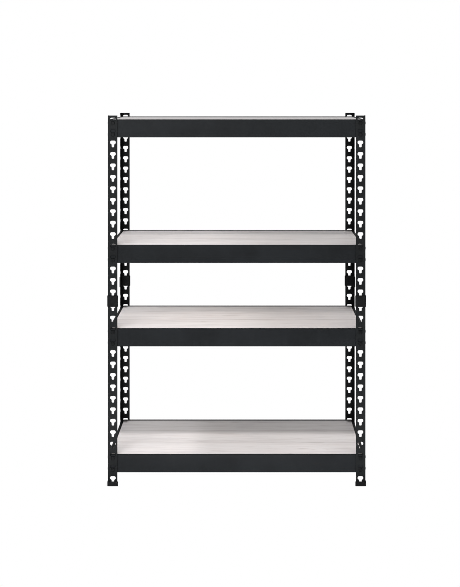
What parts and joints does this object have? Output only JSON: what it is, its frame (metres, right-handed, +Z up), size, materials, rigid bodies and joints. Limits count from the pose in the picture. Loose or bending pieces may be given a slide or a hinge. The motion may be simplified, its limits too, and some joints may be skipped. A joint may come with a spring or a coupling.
{
  "type": "boltless shelving unit",
  "caption": "Free-standing boltless steel shelving: angle posts in spliced halves with keyhole columns, rolled beams hung on shoulder rivets, laminate boards lying inside the beams.",
  "frame": {"origin": "on the floor, under the middle of the unit", "axes": "+X to the right along the width, +Y to the back along the depth, +Z up; the front is at -Y"},
  "size_m": [0.8612, 0.4102, 1.2322],
  "materials": {
    "post_steel": "black powder coat, satin, fine texture",
    "beam_steel": "black powder coat, satin, fine texture",
    "rivet_steel": "black coated steel, satin",
    "black_plastic": "moulded black plastic, matt",
    "board_laminate": "white-washed wood-grain laminate, satin"
  },
  "bodies": {
    "frame": {"front_left_lower_post": "post_steel", "front_left_upper_post": "post_steel", "front_right_lower_post": "post_steel", "front_right_upper_post": "post_steel", "back_left_lower_post": "post_steel", "back_left_upper_post": "post_steel", "back_right_lower_post": "post_steel", "back_right_upper_post": "post_steel", "front_left_post_connector": "black_plastic", "front_right_post_connector": "black_plastic", "back_left_post_connector": "black_plastic", "back_right_post_connector": "black_plastic", "front_left_foot": "black_plastic", "front_right_foot": "black_plastic", "back_left_foot": "black_plastic", "back_right_foot": "black_plastic"},
    "shelf_1_frame": {"shelf_1_front_beam": "beam_steel", "shelf_1_back_beam": "beam_steel", "shelf_1_left_beam": "beam_steel", "shelf_1_right_beam": "beam_steel", "shelf_1_rivets": "rivet_steel"},
    "shelf_1_board": {"shelf_1_board": "board_laminate"},
    "shelf_2_frame": {"shelf_2_front_beam": "beam_steel", "shelf_2_back_beam": "beam_steel", "shelf_2_left_beam": "beam_steel", "shelf_2_right_beam": "beam_steel", "shelf_2_rivets": "rivet_steel"},
    "shelf_2_board": {"shelf_2_board": "board_laminate"},
    "shelf_3_frame": {"shelf_3_front_beam": "beam_steel", "shelf_3_back_beam": "beam_steel", "shelf_3_left_beam": "beam_steel", "shelf_3_right_beam": "beam_steel", "shelf_3_rivets": "rivet_steel"},
    "shelf_3_board": {"shelf_3_board": "board_laminate"},
    "shelf_4_frame": {"shelf_4_front_beam": "beam_steel", "shelf_4_back_beam": "beam_steel", "shelf_4_left_beam": "beam_steel", "shelf_4_right_beam": "beam_steel", "shelf_4_rivets": "rivet_steel"},
    "shelf_4_board": {"shelf_4_board": "board_laminate"}
  },
  "joints": [
    {"name": "shelf_1_unlock_lift", "type": "slide", "parent": "frame", "child": "shelf_1_frame", "axis": [0, 0, 1], "range_m": [0, 0.012]},
    {"name": "shelf_1_board_lift", "type": "slide", "parent": "shelf_1_frame", "child": "shelf_1_board", "axis": [0, 0, 1], "range_m": [0, 0.15]},
    {"name": "shelf_2_unlock_lift", "type": "slide", "parent": "frame", "child": "shelf_2_frame", "axis": [0, 0, 1], "range_m": [0, 0.012]},
    {"name": "shelf_2_board_lift", "type": "slide", "parent": "shelf_2_frame", "child": "shelf_2_board", "axis": [0, 0, 1], "range_m": [0, 0.15]},
    {"name": "shelf_3_unlock_lift", "type": "slide", "parent": "frame", "child": "shelf_3_frame", "axis": [0, 0, 1], "range_m": [0, 0.012]},
    {"name": "shelf_3_board_lift", "type": "slide", "parent": "shelf_3_frame", "child": "shelf_3_board", "axis": [0, 0, 1], "range_m": [0, 0.15]},
    {"name": "shelf_4_unlock_lift", "type": "slide", "parent": "frame", "child": "shelf_4_frame", "axis": [0, 0, 1], "range_m": [0, 0.012]},
    {"name": "shelf_4_board_lift", "type": "slide", "parent": "shelf_4_frame", "child": "shelf_4_board", "axis": [0, 0, 1], "range_m": [0, 0.15]}
  ]
}
